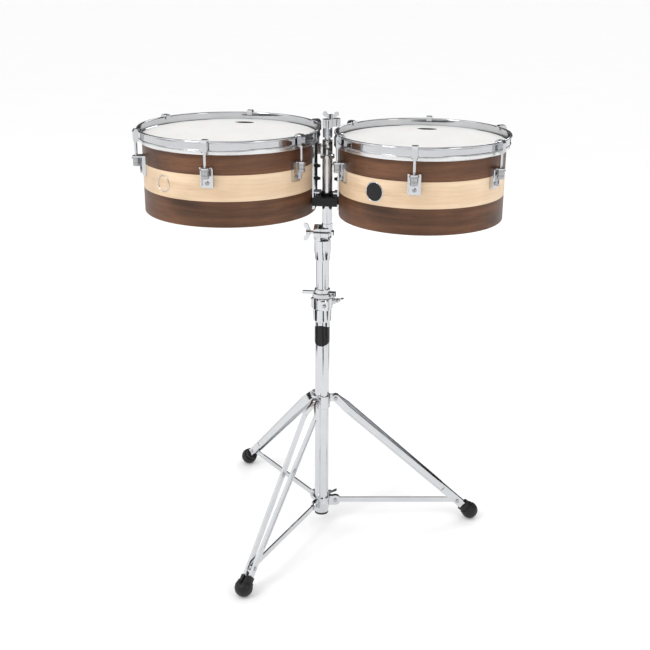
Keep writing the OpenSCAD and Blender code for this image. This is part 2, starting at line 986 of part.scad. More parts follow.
// each claw hooks over the rim and carries a rod
module claws(x, r) {
    rim_out = r + hoop_reach + 0.4;
    axis = r + rod_offset;
    cap = hoop_top + 0.3;
    color("silver")
        at_drum(x)
            each_lug()
                difference() {
                    union() {
                        plate_xz(claw_w)
                            polygon([
                                [rim_out - 8.6, hoop_z + 13], [r + hoop_in - 0.5, hoop_z + 13],
                                [r + hoop_in - 0.5, cap], [rim_out, cap], [rim_out, claw_bottom + 2],
                                [axis, claw_bottom], [axis + 5.5, claw_bottom + 3],
                                [axis + 5.5, cap - 2], [axis + 2.5, cap + claw_cap],
                                [r + hoop_in, cap + claw_cap], [rim_out - 8.6, cap + 1]
                            ]);
                        translate([axis, 0, claw_bottom])
                            cylinder(r = rod_d / 2 + 1.8, h = claw_drop);
                    }
                    translate([axis, 0, claw_bottom - 5])
                        cylinder(r = rod_d / 2 + run_gap, h = rod_top - claw_bottom + 5);
                }
}

module tension_rods(x, r) {
    color("silver")
        at_drum(x)
            each_lug()
                translate([r + rod_offset, 0, rod_bottom])
                    cylinder(r = rod_d / 2, h = rod_top - rod_bottom);
}

// bracket plates that hug the shell, each with a shelf for its rod
module lugs(x, r) {
    hole = rod_d / 2 + 0.4;
    color("silver")
        at_drum(x)
            each_lug()
                difference() {
                    union() {
                        intersection() {
                            translate([0, 0, lug_bottom])
                                pipe(r + lug_plate_t, r, lug_top - lug_bottom, $fn = 180);
                            translate([r, 0, 0])
                                rotate([0, 90, 0])
                                    translate([0, 0, -5])
                                        linear_extrude(12)
                                            lug_outline();
                        }
                        // side flanges, which make the plate a shallow channel
                        for (side = [-1, 1])
                            translate([r - 2, side * (lug_plate_w - lug_flange_t) / 2 - lug_flange_t / 2,
                                       lug_bottom + lug_corner_r])
                                cube([lug_flange_out + 2, lug_flange_t, lug_top - lug_bottom - lug_corner_r]);
                        translate([r + 1.5, -lug_plate_w / 2, lug_top - lug_plate_t])
                            cube([rod_offset - 5.5, lug_plate_w, lug_plate_t]);
                        translate([r + 1.5, -shelf_r, lug_top - lug_plate_t])
                            cube([rod_offset - 1.5, 2 * shelf_r, lug_plate_t]);
                        translate([r + rod_offset, 0, lug_top - lug_plate_t])
                            cylinder(r = shelf_r, h = lug_plate_t);
                    }
                    translate([0, 0, -1])
                        cylinder(r = r, h = shell_h, $fn = 180);
                    translate([r + rod_offset, 0, lug_bottom])
                        cylinder(r = hole, h = lug_top);
                    translate([r - 3, 0, lug_screw_z])
                        point_out()
                            cylinder(r = 2.5, h = 12);
                }
}

// outline of a lug plate as seen from outside, with rounded lower corners
module lug_outline() {
    half = lug_plate_w / 2;
    translate([-lug_top, -half])
        square([lug_top - lug_bottom - lug_corner_r, lug_plate_w]);
    translate([-lug_bottom - 2 * lug_corner_r, lug_corner_r - half])
        square([2 * lug_corner_r, lug_plate_w - 2 * lug_corner_r]);
    for (side = [-1, 1])
        translate([-lug_bottom - lug_corner_r, side * (half - lug_corner_r)])
            circle(r = lug_corner_r);
}

// nuts under the shelves, and the screws that hold the plates
module lug_nuts(x, r) {
    bore = rod_d / 2 + 0.1;
    nut_top = lug_top - lug_plate_t - run_gap;
    color("gainsboro")
        at_drum(x)
            each_lug() {
                translate([r + rod_offset, 0, nut_top - nut_h])
                    difference() {
                        union() {
                            cylinder(r = nut_r, h = nut_h);
                            translate([0, 0, nut_h - nut_flange_h])
                                cylinder(r = nut_flange_r, h = nut_flange_h);
                        }
                        translate([0, 0, -1])
                            cylinder(r = bore, h = nut_h + 2);
                    }
                translate([r + lug_plate_t, 0, lug_screw_z])
                    point_out() {
                        button_head(4.6, 2.4);
                        translate([0, 0, -lug_plate_t])
                            cylinder(r = 2.5, h = lug_plate_t + eps);
                    }
            }
}

// curved plate on the shell, with a hook that drops into the bridge
module mount(x, r, side) {
    hook_z = bridge_bottom + bridge_h + run_gap;
    plate_out = r + mount_t;
    tongue_out = r + drum_gap - tongue_in;
    color("silver")
        at_drum(x)
            rotate([0, 0, side > 0 ? 0 : 180])
                difference() {
                    union() {
                        intersection() {
                            translate([0, 0, mount_bottom])
                                pipe(plate_out, r, mount_top - mount_bottom, $fn = 180);
                            translate([r - 10, -mount_w / 2, 0])
                                cube([20, mount_w, shell_h]);
                        }
                        difference() {
                            union() {
                                translate([r + 1, -tongue_w / 2, hook_z])
                                    cube([tongue_out - r - 1, tongue_w, hook_h]);
                                translate([tongue_out - tongue_t, -tongue_w / 2, hook_z - tongue_drop])
                                    cube([tongue_t, tongue_w, tongue_drop + eps]);
                            }
                            translate([0, 0, -1])
                                cylinder(r = r + 0.5, h = shell_h, $fn = 180);
                        }
                    }
                    for (z = bolt_heights)
                        translate([r - 5, 0, z])
                            point_out()
                                cylinder(r = 3, h = 12);
                }
}

module mount_bolts() {
    color([0.1, 0.1, 0.1])
        for (drum = [[left_x, left_r, 0], [right_x, right_r, 180]])
            at_drum(drum[0])
                rotate([0, 0, drum[2]])
                    for (z = bolt_heights)
                        translate([drum[1] + mount_t, 0, z])
                            point_out() {
                                translate([0, 0, -mount_t])
                                    cylinder(r = 3, h = mount_t + eps);
                                cylinder(r = 5, h = 4);
                                cylinder(r = 3.4, h = 9);
                            }
}

// plain round badges let into the front of both maple bands
module drum_badges() {
    color("black")
        for (drum = [[left_x, left_r, -123], [right_x, right_r, -118]])
            at_drum(drum[0])
                at_azimuth(drum[2])
                    intersection() {
                        translate([0, 0, band_h])
                            pipe(drum[1] + badge_t, drum[1], band_h, $fn = 180);
                        translate([drum[1] - 5, 0, 1.5 * band_h])
                            point_out()
                                cylinder(r = badge_r, h = 12);
                    }
}

// ---------- what is drawn ----------

base_tube();
end_plug();
height_bushing();
height_clamp();
clamp_key_screw();
tube_badge();
leg_collar();
leg_pivot_rivets();
memory_lock();
lock_key_screw();
height_tube();
tilter_base();
tilter_wing_bolt();
tilter_head();
upper_post();
bridge();
post_head();
mount_bolts();
drum_badges();
shell(left_x, left_r);  // left_shell
band(left_x, left_r);  // left_band
head(left_x, left_r);  // left_head
flesh_hoop(left_x, left_r);  // left_flesh_hoop
lugs(left_x, left_r);  // left_lugs
lug_nuts(left_x, left_r);  // left_lug_nuts
mount(left_x, left_r, 1);  // left_mount
counterhoop(left_x, left_r);  // left_counterhoop
claws(left_x, left_r);  // left_claws
tension_rods(left_x, left_r);  // left_tension_rods
shell(right_x, right_r);  // right_shell
band(right_x, right_r);  // right_band
head(right_x, right_r);  // right_head
flesh_hoop(right_x, right_r);  // right_flesh_hoop
lugs(right_x, right_r);  // right_lugs
lug_nuts(right_x, right_r);  // right_lug_nuts
mount(right_x, right_r, -1);  // right_mount
counterhoop(right_x, right_r);  // right_counterhoop
claws(right_x, right_r);  // right_claws
tension_rods(right_x, right_r);  // right_tension_rods
accessory_rod();
rod_wing_screw();
rod_clamp();
rod_clamp_wing_bolt();
height_wing_screw();
sliding_collar();
brace_pivot_rivets();
collar_wing_bolt();
leg(0);  // leg_1
leg(1);  // leg_2
leg(2);  // leg_3
foot(0);  // foot_1
foot(1);  // foot_2
foot(2);  // foot_3
brace(0);  // brace_1
brace(1);  // brace_2
brace(2);  // brace_3
brace_rivets(0);  // brace_rivets_1
brace_rivets(1);  // brace_rivets_2
brace_rivets(2);  // brace_rivets_3
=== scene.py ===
"""Timbales on a folding tripod stand: chrome, walnut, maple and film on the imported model."""

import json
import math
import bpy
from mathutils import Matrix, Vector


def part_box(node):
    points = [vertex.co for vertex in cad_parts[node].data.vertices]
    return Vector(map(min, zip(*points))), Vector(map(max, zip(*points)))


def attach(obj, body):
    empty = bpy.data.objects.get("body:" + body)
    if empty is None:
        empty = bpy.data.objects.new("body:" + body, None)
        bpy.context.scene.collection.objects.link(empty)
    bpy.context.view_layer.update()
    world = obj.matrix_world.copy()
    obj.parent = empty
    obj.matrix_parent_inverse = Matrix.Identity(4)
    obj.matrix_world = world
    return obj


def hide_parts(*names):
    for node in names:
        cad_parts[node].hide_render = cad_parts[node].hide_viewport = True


bl_info = {
    "name": "Timbales",
    "version": (1, 0, 0),
    "blender": (4, 5, 0),
    "location": "3D View > Sidebar > Timbales",
    "description": "Dresses a pair of timbales and their stand",
    "category": "Object",
}

import bmesh
import bpy
from bpy.props import FloatProperty, FloatVectorProperty, IntProperty, PointerProperty
from mathutils import Matrix, Vector

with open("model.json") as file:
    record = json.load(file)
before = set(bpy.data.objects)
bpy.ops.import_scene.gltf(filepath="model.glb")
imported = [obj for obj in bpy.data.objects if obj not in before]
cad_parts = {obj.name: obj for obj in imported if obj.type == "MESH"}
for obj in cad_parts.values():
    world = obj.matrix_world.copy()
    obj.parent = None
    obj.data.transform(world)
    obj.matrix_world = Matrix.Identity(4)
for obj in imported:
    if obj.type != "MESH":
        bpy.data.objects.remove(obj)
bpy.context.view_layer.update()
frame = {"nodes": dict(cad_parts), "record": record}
MM = 0.001
TAU = 2 * math.pi
BODIES = frame["record"]["behaviour"]["bodies"]
BODY_OF = {node: body for body, nodes in BODIES.items() for node in nodes}
SLOT_OF = {row["node"]: row["material_slot"] for row in frame["record"]["subparts"]}
SIDES = ("left", "right")
LUGS = 6                    # tension rods on each drum
FIRST_LUG = TAU / 12        # the first one's place round the shell
WHITE = (1, 1, 1, 1)
LYING = 0.7                 # faces whose normal rises more than this lie flat
INLAY = 2 * MM              # how deep the maple band is let into the shell
SOFT_EDGE = 0.25 * MM       # sanded edge between walnut and maple
CAMERA_OFFSET = (0.3809, -2.3052, 1.3468)   # from the foot of the base tube


# ---------- places read from the frame ----------

def middle(node):
    """The middle of a CAD node's box."""
    low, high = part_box(node)
    return (Vector(low) + Vector(high)) / 2


class Drum:
    """Where one drum's shell stands, and its size."""

    def __init__(self, side):
        low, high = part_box(f"{side}_shell")
        self.side = side
        self.radius = (high[0] - low[0]) / 2
        self.height = high[2] - low[2]
        self.foot = Vector(((low[0] + high[0]) / 2, (low[1] + high[1]) / 2, low[2]))
        band_low, band_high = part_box(f"{side}_band")
        self.band = (band_low[2] - low[2], band_high[2] - low[2])
        hoop_low, hoop_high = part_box(f"{side}_counterhoop")
        self.hoop = (hoop_low[2] - low[2], hoop_high[2] - low[2])
        self.hoop_reach = (hoop_high[0] - hoop_low[0]) / 2 - self.radius
        flesh_low, flesh_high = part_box(f"{side}_flesh_hoop")
        self.flesh = (flesh_low[2] - low[2], flesh_high[2] - low[2])
        self.flesh_reach = (flesh_high[0] - flesh_low[0]) / 2 - self.radius


# ---------- settings ----------

class TimbalesColours(bpy.types.PropertyGroup):
    """Colours of the finishes."""

    walnut_dark: FloatVectorProperty(
        name="Walnut, dark grain", description="Darkest streaks of the walnut veneer",
        subtype="COLOR", size=3, default=(0.050, 0.022, 0.011))
    walnut_light: FloatVectorProperty(
        name="Walnut, light grain", description="Lightest streaks of the walnut veneer",
        subtype="COLOR", size=3, default=(0.210, 0.091, 0.045))
    maple_dark: FloatVectorProperty(
        name="Maple, dark grain", description="Darkest streaks of the maple inlay",
        subtype="COLOR", size=3, default=(0.64, 0.44, 0.27))
    maple_light: FloatVectorProperty(
        name="Maple, light grain", description="Lightest streaks of the maple inlay",
        subtype="COLOR", size=3, default=(0.90, 0.71, 0.51))
    chrome: FloatVectorProperty(
        name="Chrome", description="Tint of the chrome plate",
        subtype="COLOR", size=3, default=(0.64, 0.65, 0.67))
    film: FloatVectorProperty(
        name="Drum film", description="Colour of the coated heads",
        subtype="COLOR", size=3, default=(0.79, 0.77, 0.755))


class TimbalesSizes(bpy.types.PropertyGroup):
    """Small sizes that only the looks need."""

    edge_round: FloatProperty(
        name="Edge rounding", description="Radius on the edges of cast and pressed metal",
        default=0.0007, min=0.0001, max=0.002, unit="LENGTH")
    wing_round: FloatProperty(
        name="Wing rounding", description="Radius on the edges of the wing bolts",
        default=0.0014, min=0.0002, max=0.0017, unit="LENGTH")
    lathe_steps: IntProperty(
        name="Steps round a drum", description="Facets round a shell or a hoop",
        default=192, min=48, max=256)
    tube_steps: IntProperty(
        name="Steps round a tube", description="Facets round a tube",
        default=72, min=24, max=128)
    thread_pitch: FloatProperty(
        name="Thread pitch", description="Distance between the tension rods' threads",
        default=0.0012, min=0.0006, max=0.002, unit="LENGTH")
    lens: FloatProperty(
        name="Lens", description="Focal length of the camera in millimetres",
        default=59.77, min=20, max=200)


def colours():
    return bpy.context.scene.timbales_colours


def sizes():
    return bpy.context.scene.timbales_sizes


# ---------- node helpers ----------

class Finish:
    """A new material and short ways to wire its nodes."""

    def __init__(self, name):
        self.material = bpy.data.materials.new(name)
        self.material.use_nodes = True
        self.tree = self.material.node_tree
        self.shader = next(n for n in self.tree.nodes if n.type == "BSDF_PRINCIPLED")

    def add(self, kind, **values):
        node = self.tree.nodes.new(kind)
        for key, value in values.items():
            setattr(node, key, value)
        return node

    def link(self, source, target):
        self.tree.links.new(source, target)

    def set(self, **values):
        for key, value in values.items():
            self.shader.inputs[key.replace("_", " ")].default_value = value

    def coords(self, kind, scale=(1, 1, 1), location=(0, 0, 0)):
        source = self.add("ShaderNodeTexCoord")
        mapping = self.add("ShaderNodeMapping")
        mapping.inputs["Scale"].default_value = scale
        mapping.inputs["Location"].default_value = location
        self.link(source.outputs[kind], mapping.inputs["Vector"])
        return mapping.outputs["Vector"]

    def noise(self, vector, scale, detail=4, roughness=0.55, distortion=0.0):
        node = self.add("ShaderNodeTexNoise")
        node.inputs["Scale"].default_value = scale
        node.inputs["Detail"].default_value = detail
        node.inputs["Roughness"].default_value = roughness
        node.inputs["Distortion"].default_value = distortion
        self.link(vector, node.inputs["Vector"])
        return node.outputs["Fac"]

    def ramp(self, value, *stops):
        node = self.add("ShaderNodeValToRGB")
        band = node.color_ramp
        while len(band.elements) < len(stops):
            band.elements.new(0.5)
        for element, (place, colour) in zip(band.elements, stops):
            element.position = place
            element.color = (*colour, 1) if len(colour) == 3 else colour
        self.link(value, node.inputs["Fac"])
        return node.outputs["Color"]

    def spread(self, value, low, high, from_low=0.3, from_high=0.7):
        node = self.add("ShaderNodeMapRange")
        node.inputs["From Min"].default_value = from_low
        node.inputs["From Max"].default_value = from_high
        node.inputs["To Min"].default_value = low
        node.inputs["To Max"].default_value = high
        self.link(value, node.inputs["Value"])
        return node.outputs["Result"]

    def sum(self, first, second, weight):
        node = self.add("ShaderNodeMath", operation="MULTIPLY_ADD")
        self.link(second, node.inputs[0])
        node.inputs[1].default_value = weight
        self.link(first, node.inputs[2])
        return node.outputs[0]

    def multiply(self, base, layer, amount):
        node = self.add("ShaderNodeMix", data_type="RGBA", blend_type="MULTIPLY")
        node.inputs["Factor"].default_value = amount
        self.link(base, node.inputs[6])
        self.link(layer, node.inputs[7])
        return node.outputs[2]

    def bump(self, height, strength, distance):
        node = self.add("ShaderNodeBump")
        node.inputs["Strength"].default_value = strength
        node.inputs["Distance"].default_value = distance
        self.link(height, node.inputs["Height"])
        self.link(node.outputs["Normal"], self.shader.inputs["Normal"])

    def colour(self, socket):
        self.link(socket, self.shader.inputs["Base Color"])

    def rough(self, socket):
        self.link(socket, self.shader.inputs["Roughness"])


def grey(level):
    return (level, level, level)


def scaled(colour, factor):
    return tuple(channel * factor for channel in colour)


# ---------- finishes ----------

def chrome_finish(name="chrome", smooth=0.045, worn=0.13, tint=1.0):
    """Bright plate with faint smudges and a little waviness from polishing."""
    finish = Finish(name)
    finish.set(Metallic=1.0)
    place = finish.coords("Object")
    smudge = finish.noise(place, 38, 5, 0.62)
    haze = finish.noise(place, 420, 3)
    plate = scaled(colours().chrome, tint)
    finish.colour(finish.ramp(smudge, (0.25, scaled(plate, 0.93)), (0.75, plate)))
    finish.rough(finish.spread(finish.sum(smudge, haze, 0.35), smooth, worn, 0.45, 0.95))
    finish.bump(finish.noise(place, 95, 2), 0.05, 0.0003)
    return finish.material


def wood_finish(name, dark, light, pore_depth, figure, coat, cloud_depth):
    """Veneer whose grain runs round the shell, from the piece's own map in metres."""
    finish = Finish(name)
    broad = finish.noise(finish.coords("UV", (1.6, 15, 1)), figure, 5, 0.6, 0.9)
    streak = finish.noise(finish.coords("UV", (5, 120, 1), (3, 7, 0)), 1.0, 5, 0.65, 0.35)
    fibre = finish.noise(finish.coords("UV", (22, 900, 1), (9, 2, 0)), 1.0, 3, 0.6)
    grain = finish.sum(finish.sum(broad, streak, 0.55), fibre, 0.22)
    middle_tone = tuple((a + b) / 2 for a, b in zip(dark, light))
    shade = finish.spread(grain, 0, 1, 0.62, 1.12)
    wood = finish.ramp(shade, (0.0, dark), (0.5, middle_tone), (1.0, light))
    cloud = finish.noise(finish.coords("UV", (3.4, 9, 1), (5, 3, 0)), 1.0, 3, 0.5, 1.2)
    clouding = finish.ramp(cloud, (0.40, grey(0.5)), (0.60, grey(1.0)))
    wood = finish.multiply(wood, clouding, cloud_depth)
    pores = finish.noise(finish.coords("UV", (70, 1500, 1)), 1.0, 2, 0.5)
    flecks = finish.ramp(pores, (0.30, grey(0.35)), (0.44, grey(1.0)))
    finish.colour(finish.multiply(wood, flecks, pore_depth))
    finish.rough(finish.spread(grain, 0.36, 0.50, 0.6, 1.1))
    finish.bump(finish.sum(fibre, pores, 0.8), 0.12, 0.0002)
    finish.set(Coat_Weight=coat, Coat_Roughness=0.25, Specular_IOR_Level=0.28)
    return finish.material


def ply_finish():
    """Bare plies on the shell's edges and inside."""
    finish = Finish("ply")
    fibre = finish.noise(finish.coords("UV", (12, 500, 1)), 1.0, 5, 0.6, 0.3)
    broad = finish.noise(finish.coords("UV", (2, 25, 1)), 1.0, 4)
    dark, light = colours().walnut_dark, colours().walnut_light
    figure = finish.sum(broad, fibre, 0.5)
    finish.colour(finish.ramp(figure, (0.55, scaled(dark, 1.5)), (0.95, scaled(light, 1.25))))
    finish.rough(finish.spread(fibre, 0.5, 0.7))
    finish.bump(fibre, 0.2, 0.0002)
    return finish.material


def film_finish():
    """Coated film: a fine tooth, and a faint grey bloom where it is struck."""
    finish = Finish("film")
    place = finish.coords("Object")
    tooth = finish.noise(place, 2600, 2)
    bloom = finish.noise(place, 14, 4, 0.6)
    film = colours().film
    finish.colour(finish.ramp(bloom, (0.32, scaled(film, 0.97)), (0.62, film)))
    finish.rough(finish.spread(bloom, 0.55, 0.7))
    finish.bump(tooth, 0.12, 0.0001)
    finish.set(Subsurface_Weight=0.1, Subsurface_Scale=0.005, Specular_IOR_Level=0.25)
    return finish.material


def satin_metal_finish():
    """Drawn aluminium with fine lines round the hoop."""
    finish = Finish("satin_aluminium")
    finish.set(Metallic=1.0)
    line = finish.noise(finish.coords("Object", (30, 30, 2600)), 1.0, 3)
    finish.colour(finish.ramp(line, (0.3, grey(0.74)), (0.7, grey(0.86))))
    finish.rough(finish.spread(line, 0.2, 0.34))
    finish.bump(line, 0.08, 0.0001)
    return finish.material


def black_metal_finish():
    """Black powder coat with orange peel and slightly rubbed tops."""
    finish = Finish("black_metal")
    place = finish.coords("Object")
    peel = finish.noise(place, 900, 3)
    wear = finish.noise(place, 60, 6, 0.7)
    finish.colour(finish.ramp(wear, (0.3, grey(0.006)), (0.75, grey(0.014))))
    finish.rough(finish.spread(wear, 0.28, 0.45))
    finish.bump(peel, 0.18, 0.0002)
    finish.set(Specular_IOR_Level=0.3)
    return finish.material


def rubber_finish():
    """Moulded rubber, dusty in patches."""
    finish = Finish("rubber")
    place = finish.coords("Object")
    dust = finish.noise(place, 90, 6, 0.7)
    finish.colour(finish.ramp(dust, (0.4, grey(0.007)), (0.78, grey(0.02))))
    finish.rough(finish.spread(dust, 0.38, 0.6))
    finish.bump(finish.noise(place, 1500, 3), 0.2, 0.0002)
    finish.set(Specular_IOR_Level=0.35)
    return finish.material


def nylon_finish():
    """Moulded black nylon."""
    finish = Finish("nylon")
    place = finish.coords("Object")
    grain = finish.noise(place, 1200, 3)
    finish.colour(finish.ramp(grain, (0.3, grey(0.012)), (0.7, grey(0.02))))
    finish.rough(finish.spread(grain, 0.36, 0.5))
    finish.bump(grain, 0.1, 0.0001)
    return finish.material


def enamel_finish():
    """Gloss black enamel."""
    finish = Finish("black_enamel")
    place = finish.coords("Object")
    haze = finish.noise(place, 150, 4)
    finish.colour(finish.ramp(haze, (0.3, grey(0.006)), (0.7, grey(0.012))))
    finish.rough(finish.spread(haze, 0.12, 0.22))
    finish.set(Specular_IOR_Level=0.3)
    return finish.material


MAKERS = {
    "chrome": chrome_finish,
    "plated": lambda: chrome_finish("plated_steel", 0.22, 0.34, 0.72),
    "walnut": lambda: wood_finish(
        "walnut", colours().walnut_dark, colours().walnut_light, 0.45, 1.0, 0.08, 0.75),
    "maple": lambda: wood_finish(
        "maple", colours().maple_dark, colours().maple_light, 0.12, 0.8, 0.1, 0.3),
    "ply": ply_finish,
    "film": film_finish,
    "aluminium": satin_metal_finish,
    "black_metal": black_metal_finish,
    "rubber": rubber_finish,
    "nylon": nylon_finish,
    "enamel": enamel_finish,
}
SLOT_FINISH = {
    "chrome": "chrome", "fastener": "plated", "bushing": "nylon", "rubber": "rubber",
    "black_metal": "black_metal", "badge": "enamel", "walnut": "walnut", "maple": "maple",
    "film": "film", "flesh_aluminium": "aluminium",
}
made = {}


def finish(name):
    """The material of that name, made once."""
    if name not in made:
        made[name] = MAKERS[name]()
    return made[name]


# ---------- mesh helpers ----------

def arc(x, z, radius, start, end, count):
    """Points along an arc, with angles in degrees."""
    turns = [math.radians(start + (end - start) * i / count) for i in range(count + 1)]
    return [(x + radius * math.cos(a), z + radius * math.sin(a)) for a in turns]


def lathe(profile, foot=(0, 0, 0), steps=None, closed=True):
    """Spins an outline of (radius, height) points round the vertical through foot."""
    shape = bmesh.new()
    verts = [shape.verts.new((r, 0, z)) for r, z in profile]
    edges = [shape.edges.new(pair) for pair in zip(verts, verts[1:])]
    if closed:
        edges.append(shape.edges.new((verts[-1], verts[0])))
    bmesh.ops.spin(shape, geom=verts + edges, cent=(0, 0, 0), axis=(0, 0, 1), angle=TAU,
                   steps=steps or sizes().tube_steps, use_merge=True)
    bmesh.ops.remove_doubles(shape, verts=shape.verts, dist=1e-6)
    bmesh.ops.recalc_face_normals(shape, faces=shape.faces)
    bmesh.ops.translate(shape, verts=shape.verts, vec=foot)
    return shape


def wrap_map(shape, foot, radius):
    """A map in metres: along the grain round the shell, and up it or across its edge."""
    layer = shape.loops.layers.uv.new("grain")
    for face in shape.faces:
        centre = face.calc_center_median()
        facing = math.atan2(centre.y - foot.y, centre.x - foot.x)
        flat = abs(face.normal.z) > LYING
        for loop in face.loops:
            spot = loop.vert.co
            angle = math.atan2(spot.y - foot.y, spot.x - foot.x)
            angle += TAU * round((facing - angle) / TAU)
            across = math.hypot(spot.x - foot.x, spot.y - foot.y) if flat else spot.z - foot.z
            loop[layer].uv = (angle * radius, across)


def copy_of(*nodes):
    """The CAD nodes' shape as one clean mesh, ready for its edges to be rounded."""
    shape = bmesh.new()
    for node in nodes:
        shape.from_mesh(frame["nodes"][node].data)
    bmesh.ops.remove_doubles(shape, verts=shape.verts, dist=2e-6)
    bmesh.ops.dissolve_limit(shape, angle_limit=math.radians(0.6), verts=shape.verts, edges=shape.edges)
    return shape


def joined(shapes):
    """Several meshes as one."""
    whole = bmesh.new()
    for shape in shapes:
        part = bpy.data.meshes.new("part")
        shape.to_mesh(part)
        shape.free()
        whole.from_mesh(part)
        bpy.data.meshes.remove(part)
    return whole


def ring_of(make, centre, count, first):
    """Copies of a shape, made at the +X side of the origin, turned about a drum's axis."""
    shapes = []
    for i in range(count):
        shape = make()
        place = Matrix.Translation(centre) @ Matrix.Rotation(first + TAU * i / count, 4, "Z")
        bmesh.ops.transform(shape, matrix=place, verts=shape.verts)
        shapes.append(shape)
    return joined(shapes)


def add_piece(name, shape, materials, node, stands_for=(), rounding=0.0, segments=2, sharp=35):
    """Makes the object, rounds its edges, and lets it ride where its node rides."""
    mesh = bpy.data.meshes.new(name)
    shape.to_mesh(mesh)
    shape.free()
    mesh.shade_smooth()
    mesh.set_sharp_from_angle(angle=math.radians(sharp))
    piece = bpy.data.objects.new(name, mesh)
    bpy.context.scene.collection.objects.link(piece)
    for material in materials:
        mesh.materials.append(finish(material))
    if rounding:
        bevel = piece.modifiers.new("rounded_edges", "BEVEL")
        bevel.width = rounding
        bevel.segments = segments
        bevel.limit_method = "ANGLE"
        bevel.angle_limit = math.radians(sharp)
        bevel.harden_normals = True
    even = piece.modifiers.new("even_normals", "WEIGHTED_NORMAL")
    even.keep_sharp = True
    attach(piece, BODY_OF[node])
    if stands_for:
        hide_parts(*stands_for)
    return piece


def dress(nodes, rounding=None, segments=2):
    """Rounded copies of CAD nodes, each standing for its node."""
    for node in nodes:
        width = sizes().edge_round if rounding is None else rounding
        add_piece(f"{node}_finished", copy_of(node), [SLOT_FINISH[SLOT_OF[node]]], node, (node,),
                  width, segments)


# ---------- drums ----------

class TIMBALES_OT_shells(bpy.types.Operator):
    """Walnut shells, their bare inner plies and the maple bands let into them"""

    bl_idname = "timbales.shells"
    bl_label = "Shells and bands"

    def execute(self, context):
        for side in SIDES:
            drum = Drum(side)
            self.add_shell(drum)
            self.add_band(drum)
        return {"FINISHED"}

    def add_shell(self, drum):
        r, h = drum.radius, drum.height
        low, high = drum.band
        wall = 8 * MM
        outline = [
            (r - wall, 1 * MM), (r - wall + 1 * MM, 0), (r - 1 * MM, 0), (r, 1 * MM),
            (r, low - SOFT_EDGE), (r - SOFT_EDGE, low), (r - INLAY, low), (r - INLAY, high),
            (r - SOFT_EDGE, high), (r, high + SOFT_EDGE), (r, h - 2 * MM),
            (r - 0.6 * MM, h - 0.7 * MM), (r - 2.5 * MM, h),
            (r - wall, h - 4 * MM),
        ]
        shape = lathe(outline, drum.foot, sizes().lathe_steps)
        shape.normal_update()
        for face in shape.faces:
            spot = face.calc_center_median() - drum.foot
            outside = math.hypot(spot.x, spot.y) > r - INLAY - 0.5 * MM and abs(face.normal.z) < LYING
            face.material_index = 0 if outside else 1
        wrap_map(shape, drum.foot, r)
        node = f"{drum.side}_shell"
        add_piece(f"{drum.side}_walnut_shell", shape, ["walnut", "ply"], node, (node,), sharp=40)

    def add_band(self, drum):
        r = drum.radius
        low, high = drum.band
        outline = [
            (r - INLAY, low), (r - SOFT_EDGE, low), (r, low + SOFT_EDGE), (r, high - SOFT_EDGE),
            (r - SOFT_EDGE, high), (r - INLAY, high),
        ]
        shape = lathe(outline, drum.foot, sizes().lathe_steps)
        shape.normal_update()
        wrap_map(shape, drum.foot, r)
        node = f"{drum.side}_band"
        add_piece(f"{drum.side}_maple_band", shape, ["maple"], node, (node,), sharp=40)


class TIMBALES_OT_heads(bpy.types.Operator):
    """Coated films with a turned-down collar, and a plain dark oval on each"""

    bl_idname = "timbales.heads"
    bl_label = "Heads"

    def execute(self, context):
        for side in SIDES:
            drum = Drum(side)
            low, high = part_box(f"{side}_head")
            r, top = drum.radius, high[2] - drum.foot.z
            skirt = low[2] - drum.foot.z
            film = 0.55 * MM
            crease = 9 * MM
            outline = [
                (0, top), (r - crease - 1 * MM, top), (r - crease, top - 0.25 * MM),
                (r - crease + 1.2 * MM, top - 0.02 * MM),
                *arc(r - 0.3 * MM, top - 1.2 * MM, 1.15 * MM, 88, 0, 6),
                (r + 0.85 * MM, skirt), (r + 0.3 * MM, skirt),
                (r + 0.3 * MM, top - 1.4 * MM), (r - 0.6 * MM, top - film), (0, top - film),
            ]
            shape = lathe(outline, drum.foot, sizes().lathe_steps)
            node = f"{side}_head"
            add_piece(f"{side}_head_film", shape, ["film"], node, (node,), sharp=50)
            self.add_mark(drum, top, node)
        return {"FINISHED"}

    def add_mark(self, drum, top, node):
        """A plain printed oval near the far edge of the film."""
        half_width, flatness, from_edge, print_thickness = 22 * MM, 0.5, 46 * MM, 0.06 * MM
        shape = bmesh.new()
        bmesh.ops.create_circle(shape, cap_ends=True, segments=64, radius=half_width)
        bmesh.ops.scale(shape, vec=(1, flatness, 1), verts=shape.verts)
        edge = drum.foot + Vector((0, drum.radius - from_edge, top + 0.02 * MM))
        bmesh.ops.translate(shape, verts=shape.verts, vec=edge)
        grown = bmesh.ops.extrude_face_region(shape, geom=shape.faces[:])
        raised = [v for v in grown["geom"] if isinstance(v, bmesh.types.BMVert)]
        bmesh.ops.translate(shape, verts=raised, vec=(0, 0, print_thickness))
        bmesh.ops.recalc_face_normals(shape, faces=shape.faces)
        add_piece(f"{drum.side}_head_oval", shape, ["enamel"], node)


